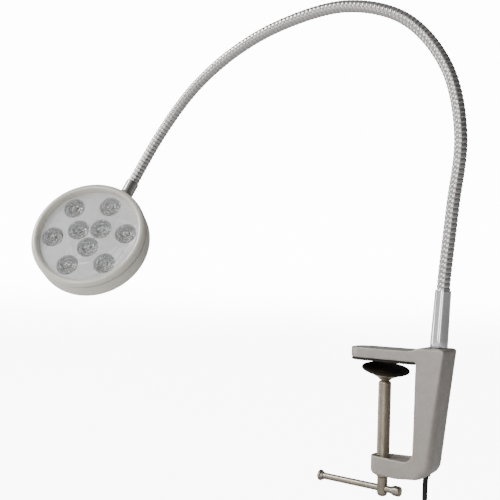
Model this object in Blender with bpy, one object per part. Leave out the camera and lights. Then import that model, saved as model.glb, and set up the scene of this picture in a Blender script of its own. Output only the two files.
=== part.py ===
"""Examination lamp on a table clamp: C-clamp, flexible gooseneck and a round nine-lens LED head.

Metres, +Z up. The origin is on the clamping face, the underside of the upper jaw's rubber pad, on
the axis of the clamp screw. The jaws point to -X, and the neck bends over them in the XZ plane.
"""

import math

import bmesh
import bpy
import numpy as np
from mathutils import Matrix, Vector

MM = 0.001
GAP = 0.3 * MM  # clearance between touching pieces

# clamp casting
HALF_WIDTH = 15.3 * MM
JAW_UNDERSIDE = 1.9 * MM
JAW_TOP = 10.0 * MM
BOSS_TOP = 12.6 * MM
LOWER_JAW_TOP = -72.0 * MM
LOWER_JAW_BOTTOM = -86.0 * MM
SPINE_BOTTOM = -83.6 * MM  # the underside rises a little towards the spine
SPINE_INNER_TOP = 29.5 * MM
SPINE_INNER_LOW = 28.6 * MM
SPINE_OUTER_TOP = 51.2 * MM
SPINE_OUTER_LOW = 42.3 * MM
UPPER_NOSE = (-14.0 * MM, 13.6 * MM)  # centre x and radius of the tongue's round end
LOWER_NOSE = (0.0, 9.2 * MM)
PAD_THICKNESS = 1.6 * MM

# post bore and base ferrule, leaning a little with the spine
POST_X = 41.9 * MM
POST_LEAN = math.radians(3.3)
POST_BORE_RADIUS = 5.5 * MM
POST_BORE_DEPTH = 32.0 * MM
SPIGOT_RADIUS = 5.2 * MM
BASE_FERRULE_LENGTH = 43.5 * MM
BASE_FERRULE_RADII = (6.5 * MM, 5.95 * MM)
CABLE_EXIT = Vector((33.0 * MM, 4.2 * MM, SPINE_BOTTOM))
CABLE_BORE_RADIUS = 3.6 * MM
LOCK_SCREW_Z = 4.0 * MM

# clamp screw, foot and tommy bar
SCREW_RADIUS = 5.0 * MM
SCREW_TOP = -16.0 * MM
SHANK_TOP = -88.5 * MM
SHANK_RADIUS = 4.0 * MM
SCREW_END = -103.3 * MM
BALL_Z = -12.4 * MM
BALL_RADIUS = 3.3 * MM
STUD_RADIUS = 2.0 * MM
FOOT_TILT = math.radians(10.0)
FOOT_TILT_AXIS = Vector((0.719, 0.695, 0.0))
FOOT_RADIUS = 18.4 * MM
BAR_Z = -97.3 * MM
BAR_RADIUS = 2.6 * MM
BAR_TURN = math.radians(-4.6)  # the bar's short end points a little to -Y of +X
BAR_LEFT = -56.0 * MM
BAR_RIGHT = 14.0 * MM

# gooseneck
NECK_RADIUS = 5.0 * MM
NECK_LINKS = 9
NECK_SIDES = 12
SOCKET_DEPTH = 8.0 * MM
NECK_ROUTE = [  # centre line between the two ferrules, in mm
    (44.9, 0, 64), (50, 0, 117), (55, 0, 172), (43, 0, 225), (9.5, 0, 267), (-40, 0, 286),
    (-96, 0, 282.5), (-147, 0, 266.5), (-194, 0, 238), (-230, -3, 198),
]

# lamp head, in its own frame: +Z out of the face, +X to the neck, origin in the widest circle
HEAD_CENTRE = Vector((-262.4 * MM, -61.1 * MM, 94.4 * MM))
HEAD_AZIMUTH = math.radians(-63.9)
HEAD_ELEVATION = math.radians(24.9)
HEAD_ROLL = math.radians(-25.5)
HEAD_RADIUS = 52.5 * MM
HEAD_DEPTH = 20.5 * MM
SHELL_WALL = 2.0 * MM
HEAD_SIDES = 48
HEAD_FERRULE_Z = -10.5 * MM
HEAD_FERRULE_SKEW = math.radians(5.6)
HEAD_FERRULE_TILT = math.radians(3.0)
HEAD_FERRULE_LENGTH = 17.0 * MM
HEAD_FERRULE_RADIUS = 6.0 * MM
PANEL_TOP = 0.3 * MM
PANEL_THICKNESS = 1.6 * MM
PANEL_RADIUS = 46.8 * MM
LENS_RADIUS = 9.6 * MM
LENS_OUTER_RING = 33.5 * MM
LENS_INNER_RING = 12.0 * MM
BOARD_TOP = -12.6 * MM
BOARD_THICKNESS = 1.6 * MM
BOARD_RADIUS = 43.0 * MM
REAR_SCREW_RING = 40.0 * MM
REAR_SCREW_ANGLES = (30, 150, 270)

# cord
CORD_RADIUS = 2.0 * MM
FLOOR_Z = -175.0 * MM
COIL_CENTRE = Vector((5.4 * MM, -14.0 * MM, 0.0))
COIL_RADIUS = 23.5 * MM
COIL_HALF_WIDTH = 6.3 * MM
COIL_HEIGHT = 16.4 * MM
COIL_LIFT = 1.0 * MM  # the tie passes under the coil

MATERIALS = {
    "cast_paint": ((0.45, 0.43, 0.41), 0.45, 0.4),
    "black_rubber": ((0.02, 0.02, 0.02), 0.8, 0.0),
    "chrome": ((0.78, 0.79, 0.80), 0.12, 1.0),
    "nickel": ((0.52, 0.48, 0.40), 0.3, 1.0),
    "pearl_paint": ((0.78, 0.77, 0.72), 0.35, 0.2),
    "panel": ((0.60, 0.61, 0.62), 0.4, 0.0),
    "lens": ((0.90, 0.92, 0.94), 0.05, 0.0),
    "board": ((0.75, 0.77, 0.75), 0.4, 0.3),
    "steel": ((0.55, 0.55, 0.56), 0.3, 1.0),
    "black_plastic": ((0.03, 0.03, 0.03), 0.4, 0.0),
}


def material(name):
    """The named Principled material, made on first use."""
    found = bpy.data.materials.get(name)
    if found:
        return found
    colour, roughness, metallic = MATERIALS[name]
    made = bpy.data.materials.new(name)
    made.use_nodes = True
    shader = made.node_tree.nodes["Principled BSDF"]
    shader.inputs["Base Color"].default_value = (*colour, 1.0)
    shader.inputs["Roughness"].default_value = roughness
    shader.inputs["Metallic"].default_value = metallic
    return made


def add_object(name, bm, finish, matrix=None, smooth=True):
    """An object from a bmesh, placed by a matrix."""
    bmesh.ops.recalc_face_normals(bm, faces=bm.faces)
    mesh = bpy.data.meshes.new(name)
    bm.to_mesh(mesh)
    bm.free()
    if finish:
        mesh.materials.append(material(finish))
    if smooth:
        mesh.shade_smooth()
        mesh.set_sharp_from_angle(angle=math.radians(35))
    obj = bpy.data.objects.new(name, mesh)
    bpy.context.scene.collection.objects.link(obj)
    if matrix is not None:
        obj.matrix_world = matrix
    return obj


def add_empty(name, matrix):
    """An empty that marks a joint's axis or a sub-assembly's frame."""
    empty = bpy.data.objects.new(name, None)
    empty.matrix_world = matrix
    bpy.context.scene.collection.objects.link(empty)
    return empty


def modify(obj, cutter, operation):
    """Cut or join obj by another object, which stays as a hidden guide."""
    cutter.hide_render = True
    cutter.display_type = "WIRE"
    step = obj.modifiers.new(cutter.name, "BOOLEAN")
    step.operation = operation
    step.solver = "EXACT"
    step.object = cutter


def arc(centre, radius, start, end, count):
    """Points on an arc, angles in degrees, both ends included."""
    angles = np.radians(np.linspace(start, end, count))
    return [(centre[0] + radius * math.cos(a), centre[1] + radius * math.sin(a)) for a in angles]


def prism(outline, low, high):
    """A bmesh of an outline in XY, extruded from low to high."""
    bm = bmesh.new()
    base = bm.faces.new([bm.verts.new((x, y, low)) for x, y in outline])
    top = bmesh.ops.extrude_face_region(bm, geom=[base])
    lifted = [v for v in top["geom"] if isinstance(v, bmesh.types.BMVert)]
    bmesh.ops.translate(bm, verts=lifted, vec=(0, 0, high - low))
    return bm


def turned(profile, sides, closed=False):
    """A bmesh turned about Z from (radius, z) points. Open ends get flat caps or meet in a pole."""
    bm = bmesh.new()
    rings = []
    for radius, z in profile:
        if radius < 1e-7:
            rings.append([bm.verts.new((0, 0, z))])
            continue
        turns = [2 * math.pi * i / sides for i in range(sides)]
        rings.append([bm.verts.new((radius * math.cos(t), radius * math.sin(t), z)) for t in turns])
    pairs = list(zip(rings, rings[1:]))
    if closed:
        pairs.append((rings[-1], rings[0]))
    for a, b in pairs:
        for i in range(sides):
            j = (i + 1) % sides
            corners = [a[i % len(a)], a[j % len(a)], b[j % len(b)], b[i % len(b)]]
            distinct = list(dict.fromkeys(corners))
            if len(distinct) > 2:
                bm.faces.new(distinct)
    if not closed:
        for ring in (rings[0], rings[-1]):
            if len(ring) > 1:
                bm.faces.new(ring)
    return bm


def rod(radius, low, high, sides=24, chamfer=0.0):
    """A turned cylinder with an optional chamfer at both ends."""
    if chamfer:
        profile = [(radius - chamfer, low), (radius, low + chamfer),
                   (radius, high - chamfer), (radius - chamfer, high)]
    else:
        profile = [(radius, low), (radius, high)]
    return turned(profile, sides)


def box(low, high):
    """A bmesh box between two corners."""
    bm = bmesh.new()
    bmesh.ops.create_cube(bm, size=1.0)
    low, high = Vector(low), Vector(high)
    size = high - low
    bmesh.ops.scale(bm, vec=size, verts=bm.verts)
    bmesh.ops.translate(bm, vec=(low + high) / 2, verts=bm.verts)
    return bm


def aim(origin, direction, side=(0, 1, 0)):
    """A matrix at origin whose Z axis points along direction, with Y near side."""
    z = Vector(direction).normalized()
    x = Vector(side).cross(z).normalized()
    y = z.cross(x)
    return Matrix.Translation(origin) @ Matrix((x, y, z)).transposed().to_4x4()


def smooth_curve(points, per_span=12):
    """Points of a centripetal Catmull-Rom curve through the given points."""
    pts = [np.array(p, float) for p in points]
    pts = [2 * pts[0] - pts[1], *pts, 2 * pts[-1] - pts[-2]]
    out = []
    for p0, p1, p2, p3 in zip(pts, pts[1:], pts[2:], pts[3:]):
        knots = np.cumsum([0.0] + [np.linalg.norm(b - a) ** 0.5 for a, b in ((p0, p1), (p1, p2), (p2, p3))])
        t0, t1, t2, t3 = knots
        for t in np.linspace(t1, t2, per_span, endpoint=False):
            a1 = (t1 - t) / (t1 - t0) * p0 + (t - t0) / (t1 - t0) * p1
            a2 = (t2 - t) / (t2 - t1) * p1 + (t - t1) / (t2 - t1) * p2
            a3 = (t3 - t) / (t3 - t2) * p2 + (t - t2) / (t3 - t2) * p3
            b1 = (t2 - t) / (t2 - t0) * a1 + (t - t0) / (t2 - t0) * a2
            b2 = (t3 - t) / (t3 - t1) * a2 + (t - t1) / (t3 - t1) * a3
            out.append((t2 - t) / (t2 - t1) * b1 + (t - t1) / (t2 - t1) * b2)
    out.append(pts[-2])
    return np.array(out)


# ---------------------------------------------------------------- clamp


def post_axis():
    """The base ferrule's axis: a matrix at the boss's top with Z along the post."""
    lean = Vector((math.sin(POST_LEAN), 0, math.cos(POST_LEAN)))
    return aim(Vector((POST_X, 0, BOSS_TOP)), lean)


def cable_bore_run():
    """The way from the cable's exit up to the bottom of the post's bore."""
    return post_axis() @ Vector((0, 0, -POST_BORE_DEPTH + 2 * MM)) - CABLE_EXIT


def tongue(nose, root_x, inset=0.0):
    """Plan outline of a jaw: a round nose, tapering out to the spine's full width at root_x."""
    centre_x, radius = nose
    radius -= inset
    half = HALF_WIDTH - inset
    reach = root_x - centre_x
    # the flanks leave the nose where they are tangent to it
    spread = math.degrees(math.atan2(half - radius, reach))
    round_end = arc((centre_x, 0), radius, 90 + spread, 270 - spread, 13)
    return round_end + [(root_x, -half), (root_x, half)]


def clamp_outline():
    """Side outline of the C-shaped casting, as (x, z)."""
    nose_x = UPPER_NOSE[0] - UPPER_NOSE[1]
    low_nose_x = LOWER_NOSE[0] - LOWER_NOSE[1]
    corner = 12.0 * MM
    fillet = 8.0 * MM
    outline = [(nose_x, JAW_UNDERSIDE)]
    outline += arc((nose_x + 2 * MM, JAW_TOP - 2 * MM), 2 * MM, 180, 90, 4)
    outline += [(22 * MM, JAW_TOP), (27 * MM, JAW_TOP + 0.8 * MM), (31 * MM, BOSS_TOP)]
    outline += arc((SPINE_OUTER_TOP - 2.5 * MM, BOSS_TOP - 2.5 * MM), 2.5 * MM, 90, 6, 4)
    outline += arc((SPINE_OUTER_LOW - corner, SPINE_BOTTOM + corner), corner, 0, -90, 7)
    outline += [(14 * MM, LOWER_JAW_BOTTOM)]
    outline += [(low_nose_x + 6 * MM, LOWER_JAW_BOTTOM), (low_nose_x, LOWER_JAW_BOTTOM + 2 * MM)]
    outline += arc((low_nose_x + 1 * MM, LOWER_JAW_TOP - 1 * MM), 1 * MM, 180, 90, 3)
    outline += arc((SPINE_INNER_LOW - fillet, LOWER_JAW_TOP + fillet), fillet, -90, 0, 6)
    outline += [(SPINE_INNER_TOP, JAW_UNDERSIDE)]
    return outline


def build_clamp():
    bm = prism(clamp_outline(), -HALF_WIDTH, HALF_WIDTH)
    # the outline was drawn in XY: turn its Y up to Z
    bmesh.ops.rotate(bm, verts=bm.verts, cent=(0, 0, 0), matrix=Matrix.Rotation(math.pi / 2, 3, "X"))
    outer = [e for e in bm.edges if all(v.co.x > 33 * MM and v.co.z < BOSS_TOP - 2 * MM for v in e.verts)
             and abs(e.verts[0].co.y - e.verts[1].co.y) < 1e-6]
    bmesh.ops.bevel(bm, geom=outer, offset=5 * MM, segments=4, profile=0.5, affect="EDGES")
    body = add_object("clamp_body", bm, "cast_paint")

    upper = tongue(UPPER_NOSE, SPINE_INNER_TOP + 2 * MM)
    lower = tongue(LOWER_NOSE, SPINE_INNER_LOW + 2 * MM)
    middle = (JAW_UNDERSIDE + LOWER_JAW_TOP) / 2
    for name, plan, low, high in (
        ("upper_plan", upper, middle, BOSS_TOP + 5 * MM),
        ("lower_plan", lower, LOWER_JAW_BOTTOM - 5 * MM, middle),
    ):
        # what is left outside the tongue's plan is cut away, in front of the spine
        front_x = -40 * MM
        root_x = plan[-1][0]
        margin = HALF_WIDTH + 5 * MM
        waste = plan[:-2] + [(root_x, -HALF_WIDTH), (root_x, -margin), (front_x, -margin),
                             (front_x, margin), (root_x, margin), (root_x, HALF_WIDTH)]
        modify(body, add_object(name, prism(waste, low, high), None), "DIFFERENCE")

    modify(body, add_object("screw_bore", rod(SCREW_RADIUS + GAP, -95 * MM, -60 * MM), None), "DIFFERENCE")
    post = post_axis()
    modify(body, add_object("post_bore", rod(POST_BORE_RADIUS, -POST_BORE_DEPTH, 5 * MM), None, post),
           "DIFFERENCE")
    cable_run = cable_bore_run()
    cable = rod(CABLE_BORE_RADIUS, -5 * MM, cable_run.length)
    modify(body, add_object("cable_bore", cable, None, aim(CABLE_EXIT, cable_run)), "DIFFERENCE")
    lock_axis = aim(Vector((POST_X, 0, LOCK_SCREW_Z)), (0, 1, 0), side=(1, 0, 0))
    modify(body, add_object("lock_bore", rod(2.8 * MM, 0, 20 * MM, 16), None, lock_axis), "DIFFERENCE")

    pad_outline = tongue(UPPER_NOSE, SPINE_INNER_TOP - 0.8 * MM, inset=0.3 * MM)
    add_object("jaw_pad", prism(pad_outline, 0.0, PAD_THICKNESS), "black_rubber")

    add_object("base_ferrule", base_ferrule(), "chrome", post)
    lock = rod(2.5 * MM, SPIGOT_RADIUS + GAP, HALF_WIDTH - 0.8 * MM, 16)
    add_object("lock_screw", lock, "steel", lock_axis)

    eye = CORD_RADIUS + GAP
    bush = 3.3 * MM
    grommet = turned([(eye, 0.6 * MM), (bush, 0.6 * MM), (bush, 7 * MM), (eye, 7 * MM)], 20, closed=True)
    add_object("cable_grommet", grommet, "black_rubber", aim(CABLE_EXIT, cable_run))


def base_ferrule():
    """The tapered post sleeve: a spigot in the casting, and a socket that takes the neck."""
    foot, top = BASE_FERRULE_RADII
    length = BASE_FERRULE_LENGTH
    socket = NECK_RADIUS + GAP
    seat = GAP + foot * math.sin(POST_LEAN)  # clear of the level boss
    return turned(
        [(SPIGOT_RADIUS, -28 * MM), (SPIGOT_RADIUS, seat), (foot, seat),
         (foot, 6 * MM), (top, length - 1 * MM), (top - 0.3 * MM, length), (socket, length),
         (socket, length - SOCKET_DEPTH - GAP)], 24)


def build_screw():
    top = SCREW_TOP
    stud_bore = STUD_RADIUS + GAP
    screw = turned(
        [(stud_bore, top - 8 * MM), (stud_bore, top), (SCREW_RADIUS - 0.8 * MM, top),
         (SCREW_RADIUS, top - 0.8 * MM), (SCREW_RADIUS, SHANK_TOP + 0.8 * MM), (SHANK_RADIUS, SHANK_TOP),
         (SHANK_RADIUS, SCREW_END + 2 * MM), (2.6 * MM, SCREW_END + 0.4 * MM), (0, SCREW_END)], 24)
    screw_object = add_object("clamp_screw", screw, "nickel")
    bar_frame = aim(Vector((0, 0, BAR_Z)), (math.cos(BAR_TURN), math.sin(BAR_TURN), 0))
    modify(screw_object, add_object("bar_bore", rod(BAR_RADIUS + GAP, -8 * MM, 8 * MM, 16), None, bar_frame),
           "DIFFERENCE")

    bar = add_empty("bar_frame", bar_frame)
    add_child("tommy_bar", rod(BAR_RADIUS, BAR_LEFT + 2 * MM, BAR_RIGHT - 2 * MM, 16), "nickel", bar)
    bore = BAR_RADIUS + GAP
    knob = turned(
        [(3.2 * MM, BAR_RIGHT + 1.5 * MM), (3.9 * MM, BAR_RIGHT + 0.8 * MM),
         (3.9 * MM, BAR_RIGHT - 5.6 * MM), (3.0 * MM, BAR_RIGHT - 6.6 * MM), (bore, BAR_RIGHT - 6.6 * MM),
         (bore, BAR_RIGHT - 1.7 * MM)], 16)
    add_child("tommy_bar_knob", knob, "nickel", bar)
    cap = turned(
        [(3.4 * MM, BAR_LEFT - 1 * MM), (4.3 * MM, BAR_LEFT - 0.2 * MM),
         (4.3 * MM, BAR_LEFT + 1.4 * MM), (3.3 * MM, BAR_LEFT + 2.2 * MM), (3.2 * MM, BAR_LEFT + 3.6 * MM),
         (bore, BAR_LEFT + 3.6 * MM), (bore, BAR_LEFT + 1.7 * MM)], 16)
    add_child("tommy_bar_cap", cap, "nickel", bar)


def add_child(name, bm, finish, parent):
    """An object that sits in its parent empty's frame."""
    child = add_object(name, bm, finish)
    child.parent = parent
    return child


def build_foot():
    ball_frame = Matrix.Translation((0, 0, BALL_Z))
    ball_arc = [(BALL_RADIUS * math.sin(t), BALL_RADIUS * math.cos(t))
                for t in np.linspace(0, math.radians(143), 10)]
    stud_end = SCREW_TOP - 7.4 * MM - BALL_Z
    ball = turned(ball_arc + [(STUD_RADIUS, stud_end)], 20)
    add_object("foot_ball", ball, "nickel", ball_frame)

    foot = add_empty("foot_frame", ball_frame @ Matrix.Rotation(FOOT_TILT, 4, FOOT_TILT_AXIS))
    seat = BALL_RADIUS + GAP
    seat_arc = [(seat * math.sin(t), seat * math.cos(t)) for t in np.linspace(0, math.radians(124), 9)]
    cup = turned(
        seat_arc + [(4.6 * MM, -1.8 * MM), (5.6 * MM, -0.6 * MM), (8.5 * MM, 1.2 * MM),
                    (12.5 * MM, 3.3 * MM), (16.2 * MM, 4.6 * MM), (16.4 * MM, 5.0 * MM)], 28)
    add_child("foot_cup", cup, "nickel", foot)
    pad = turned(
        [(17.2 * MM, 5.0 * MM + GAP), (18.1 * MM, 5.5 * MM), (FOOT_RADIUS, 6.0 * MM), (FOOT_RADIUS, 6.7 * MM),
         (18.0 * MM, 7.3 * MM), (17.0 * MM, 7.3 * MM), (14.6 * MM, 6.3 * MM), (0, 6.1 * MM)], 28)
    add_child("foot_pad", pad, "black_rubber", foot)


# ---------------------------------------------------------------- head


def head_matrix():
    """The head's frame: +Z out of its face and +X towards the neck."""
    azimuth, elevation = HEAD_AZIMUTH, HEAD_ELEVATION
    normal = Vector((math.cos(elevation) * math.cos(azimuth), math.cos(elevation) * math.sin(azimuth),
                     math.sin(elevation)))
    upright = (Vector((0, 0, 1)) - normal.z * normal).normalized()
    to_neck = Matrix.Rotation(HEAD_ROLL, 3, normal) @ upright
    across = normal.cross(to_neck)
    return Matrix.Translation(HEAD_CENTRE) @ Matrix((to_neck, across, normal)).transposed().to_4x4()


def head_ferrule_axis():
    """The head ferrule's frame within the head: at the rim, Z up the neck."""
    direction = Vector((1, math.tan(HEAD_FERRULE_SKEW), math.tan(HEAD_FERRULE_TILT)))
    return aim(Vector((HEAD_RADIUS, 0, HEAD_FERRULE_Z)), direction)


def lens_places():
    """Centres of the nine lenses: six round the rim and three in the middle."""
    rings = [(LENS_OUTER_RING, 60 * i) for i in range(6)] + [(LENS_INNER_RING, 90 + 120 * i) for i in range(3)]
    return [Vector((r * math.cos(math.radians(a)), r * math.sin(math.radians(a)), 0)) for r, a in rings]


def build_head(head):
    wall = SHELL_WALL
    radius = HEAD_RADIUS
    back = -HEAD_DEPTH
    seam = -0.9 * MM
    corner = 4.5 * MM
    outer = [(x, z) for x, z in arc((radius - corner, back + corner), corner, 0, -90, 6)]
    inner = [(x, z) for x, z in arc((radius - corner, back + corner), corner - wall, -90, 0, 4)]
    shell_profile = [(radius, seam), *outer, (0, back), (0, back + wall), *inner, (radius - wall, seam)]
    shell = add_child("rear_shell", turned(shell_profile, HEAD_SIDES, closed=True), "pearl_paint", head)

    ferrule = head_ferrule_axis()
    boss = rod(7.3 * MM, -4.5 * MM, 0.7 * MM, 24)
    modify(shell, guide("shell_boss", boss, head, ferrule), "UNION")
    modify(shell, guide("spigot_bore", rod(4.1 * MM, -12 * MM, 8 * MM, 20), head, ferrule), "DIFFERENCE")
    post_top = BOARD_TOP - BOARD_THICKNESS - GAP
    for i, turn in enumerate(REAR_SCREW_ANGLES):
        place = polar(REAR_SCREW_RING, turn)
        post = rod(3.4 * MM, back + wall / 2, post_top, 16)
        modify(shell, guide(f"screw_post_{i + 1}", post, head, place), "UNION")
        sink = turned([(3.6 * MM, back - 1 * MM), (3.6 * MM, back + 1.6 * MM),
                       (1.8 * MM, back + 1.6 * MM), (1.8 * MM, post_top + 1 * MM)], 16)
        modify(shell, guide(f"screw_sink_{i + 1}", sink, head, place), "DIFFERENCE")
        fixing = turned([(2.6 * MM, back + 0.1 * MM), (3.1 * MM, back + 0.6 * MM),
                         (3.1 * MM, back + 1.3 * MM), (1.5 * MM, back + 1.3 * MM),
                         (1.5 * MM, BOARD_TOP + 1 * MM)], 16)
        screw = add_child(f"rear_screw_{i + 1}", fixing, "steel", head)
        screw.matrix_local = place
    switch_hole = rod(7.9 * MM, back - 2 * MM, back + wall + 1 * MM, 24)
    modify(shell, guide("switch_hole", switch_hole, head, Matrix()), "DIFFERENCE")

    bezel_profile = [
        (45.2 * MM, 0.6 * MM), (51.9 * MM, 0.6 * MM), (52.5 * MM, 1.3 * MM), (52.1 * MM, 3.2 * MM),
        (50.9 * MM, 5.0 * MM), (49.0 * MM, 6.0 * MM), (47.4 * MM, 5.9 * MM), (46.3 * MM, 5.0 * MM)]
    add_child("front_bezel", turned(bezel_profile, HEAD_SIDES, closed=True), "pearl_paint", head)
    seal = [(47.4 * MM, -0.6 * MM), (51.6 * MM, -0.6 * MM), (51.6 * MM, 0.3 * MM), (47.4 * MM, 0.3 * MM)]
    add_child("seal_ring", turned(seal, HEAD_SIDES, closed=True), "black_rubber", head)
    build_optics(head)
    build_head_ferrule(head, ferrule)
    build_switch(head)


def polar(radius, degrees):
    """A placement at this radius and angle round the head's axis."""
    turn = math.radians(degrees)
    return Matrix.Translation((radius * math.cos(turn), radius * math.sin(turn), 0))


def guide(name, bm, parent, matrix):
    """A cutter or an added shape in its parent's frame."""
    shape = add_object(name, bm, None)
    shape.parent = parent
    shape.matrix_local = matrix
    return shape


def build_optics(head):
    panel_low = PANEL_TOP - PANEL_THICKNESS
    board_low = BOARD_TOP - BOARD_THICKNESS
    panel = add_child("lens_panel", rod(PANEL_RADIUS, panel_low, PANEL_TOP, HEAD_SIDES), "panel", head)
    board = add_child("led_board", rod(BOARD_RADIUS, board_low, BOARD_TOP, 40), "board", head)
    for turn in REAR_SCREW_ANGLES:
        hole = rod(1.8 * MM, board_low - 1 * MM, BOARD_TOP + 1 * MM, 12)
        modify(board, guide(f"board_hole_{turn}", hole, head, polar(REAR_SCREW_RING, turn)), "DIFFERENCE")
    flange = PANEL_TOP + 0.2 * MM
    lens_profile = [
        (0, flange + 0.9 * MM), (5.5 * MM, flange + 0.6 * MM), (8.6 * MM, flange), (LENS_RADIUS, flange),
        (LENS_RADIUS, flange - 1.6 * MM), (8.4 * MM, flange - 3.0 * MM), (5.2 * MM, BOARD_TOP + 0.9 * MM)]
    for i, place in enumerate(lens_places()):
        at = Matrix.Translation(place)
        hole = rod(LENS_RADIUS + GAP, panel_low - 1 * MM, PANEL_TOP + 1 * MM, 16)
        modify(panel, guide(f"lens_hole_{i + 1}", hole, head, at), "DIFFERENCE")
        emitter = rod(2.8 * MM, BOARD_TOP - 0.5 * MM, BOARD_TOP + 0.5 * MM, 8)
        modify(board, guide(f"emitter_{i + 1}", emitter, head, at), "UNION")
        lens = add_child(f"lens_{i + 1}", turned(lens_profile, 16), "lens", head)
        lens.matrix_local = at
    driver_top = board_low - 0.4 * MM
    driver = box((-34 * MM, -8 * MM, driver_top - 3 * MM), (-12 * MM, 8 * MM, driver_top))
    add_child("driver_board", driver, "black_plastic", head)


def build_head_ferrule(head, axis):
    length = HEAD_FERRULE_LENGTH
    radius = HEAD_FERRULE_RADIUS
    socket = NECK_RADIUS + GAP
    base = 0.7 * MM + GAP
    sleeve = turned(
        [(3.8 * MM, -9.5 * MM), (3.8 * MM, base), (radius + 0.5 * MM, base),
         (radius + 0.5 * MM, 2.2 * MM), (radius, 5 * MM), (radius, length - 0.8 * MM),
         (radius - 0.4 * MM, length), (socket, length), (socket, length - SOCKET_DEPTH - GAP)], 24)
    ferrule = add_child("head_ferrule", sleeve, "nickel", head)
    ferrule.matrix_local = axis
    nut = rod(5.7 * MM, -7.7 * MM, -4.8 * MM, 6)
    bmesh.ops.rotate(nut, verts=nut.verts, cent=(0, 0, 0), matrix=Matrix.Rotation(math.pi / 6, 3, "Z"))
    nut_object = add_child("head_nut", nut, "steel", head)
    nut_object.matrix_local = axis
    modify(nut_object, guide("nut_bore", rod(4.1 * MM, -12 * MM, 0, 20), head, axis), "DIFFERENCE")


def build_switch(head):
    back = -HEAD_DEPTH
    face = back - GAP
    housing = turned(
        [(5.8 * MM, face - 1.3 * MM), (8.6 * MM, face - 1.3 * MM), (9.5 * MM, face - 0.6 * MM),
         (9.5 * MM, face), (7.6 * MM, face), (7.6 * MM, -15.2 * MM), (0, -15.2 * MM), (0, -16.0 * MM),
         (5.8 * MM, -16.0 * MM)], 24, closed=True)
    add_child("switch_housing", housing, "black_plastic", head)
    button = turned(
        [(0, -25.0 * MM), (4.2 * MM, -24.7 * MM), (5.4 * MM, -23.8 * MM), (5.4 * MM, -18.0 * MM)],
        24)
    add_child("switch_button", button, "black_plastic", head)


# ---------------------------------------------------------------- gooseneck


def neck_centre_line(head):
    """The neck's centre line from socket to socket, evenly spaced points and their tangents."""
    post = post_axis()
    ferrule = head @ head_ferrule_axis()
    length = BASE_FERRULE_LENGTH
    route = [post @ Vector((0, 0, length - SOCKET_DEPTH)), post @ Vector((0, 0, length))]
    route += [Vector(p) * MM for p in NECK_ROUTE]
    route += [ferrule @ Vector((0, 0, HEAD_FERRULE_LENGTH)),
              ferrule @ Vector((0, 0, HEAD_FERRULE_LENGTH - SOCKET_DEPTH))]
    return smooth_curve(route)


def resample(points, places):
    """Points at the given distances along a curve, with unit tangents."""
    steps = np.linalg.norm(np.diff(points, axis=0), axis=1)
    along = np.concatenate([[0.0], np.cumsum(steps)])
    at = np.column_stack([np.interp(places, along, points[:, k]) for k in range(3)])
    reach = 0.5 * MM
    ahead = np.column_stack([np.interp(places + reach, along, points[:, k]) for k in range(3)])
    behind = np.column_stack([np.interp(places - reach, along, points[:, k]) for k in range(3)])
    tangents = ahead - behind
    return at, tangents / np.linalg.norm(tangents, axis=1)[:, None]


def ring_vectors(tangent):
    """Two unit vectors across the neck, the first near +Y."""
    tangent = Vector(tangent)
    side = (Vector((0, 1, 0)) - tangent.y * tangent).normalized()
    return side, tangent.cross(side)


def link_mesh(places, curve, first, last):
    """One link: a hollow seat at its start and a round end, both centred on their joints."""
    at, tangents = resample(curve, places)
    rings = []
    seat = NECK_RADIUS + GAP
    rim = math.asin(NECK_RADIUS / seat)
    start, along = Vector(at[0]), Vector(tangents[0])
    if not first:
        for turn in np.linspace(0, rim, 4):
            rings.append((start + along * seat * math.cos(turn), along, seat * math.sin(turn)))
    else:
        rings += [(start, along, 0.0), (start, along, NECK_RADIUS)]
    for point, tangent in zip(at[1:-1], tangents[1:-1]):
        rings.append((Vector(point), Vector(tangent), NECK_RADIUS))
    end, along = Vector(at[-1]), Vector(tangents[-1])
    if last:
        rings += [(end, along, NECK_RADIUS), (end, along, 0.0)]
    else:
        for turn in np.linspace(math.pi / 2, 0, 5):
            rings.append((end + along * NECK_RADIUS * math.cos(turn), along, NECK_RADIUS * math.sin(turn)))
    return swept(rings)


def swept(rings):
    """A closed bmesh through rings of (centre, tangent, radius). A zero radius is a pole."""
    bm = bmesh.new()
    loops = []
    for centre, tangent, radius in rings:
        if radius < 1e-7:
            loops.append([bm.verts.new(centre)])
            continue
        side, up = ring_vectors(tangent)
        loops.append([bm.verts.new(centre + radius * (side * math.cos(t) + up * math.sin(t)))
                      for t in np.linspace(0, 2 * math.pi, NECK_SIDES, endpoint=False)])
    for a, b in zip(loops, loops[1:]):
        for i in range(NECK_SIDES):
            j = (i + 1) % NECK_SIDES
            corners = [a[i % len(a)], a[j % len(a)], b[j % len(b)], b[i % len(b)]]
            bm.faces.new(list(dict.fromkeys(corners)))
    return bm


def build_neck(head):
    curve = neck_centre_line(head)
    total = float(np.linalg.norm(np.diff(curve, axis=0), axis=1).sum())
    pitch = total / (NECK_LINKS - 1)
    joints = [0.0] + [pitch * (k + 0.5) for k in range(NECK_LINKS - 1)] + [total]
    for k, (start, end) in enumerate(zip(joints, joints[1:])):
        count = 5 if k in (0, NECK_LINKS - 1) else 8
        inner = np.linspace(start + 3.5 * MM, end, count) if k else np.linspace(start, end, count)[1:]
        places = np.concatenate([[start], inner])
        bm = link_mesh(places, curve, k == 0, k == NECK_LINKS - 1)
        add_object(f"neck_{k + 1}", bm, "chrome")
    for k, place in enumerate(joints[1:-1]):
        at, tangent = resample(curve, np.array([place]))
        add_empty(f"neck_joint_{k + 1}", aim(Vector(at[0]), tangent[0]))


# ---------------------------------------------------------------- cord


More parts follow.
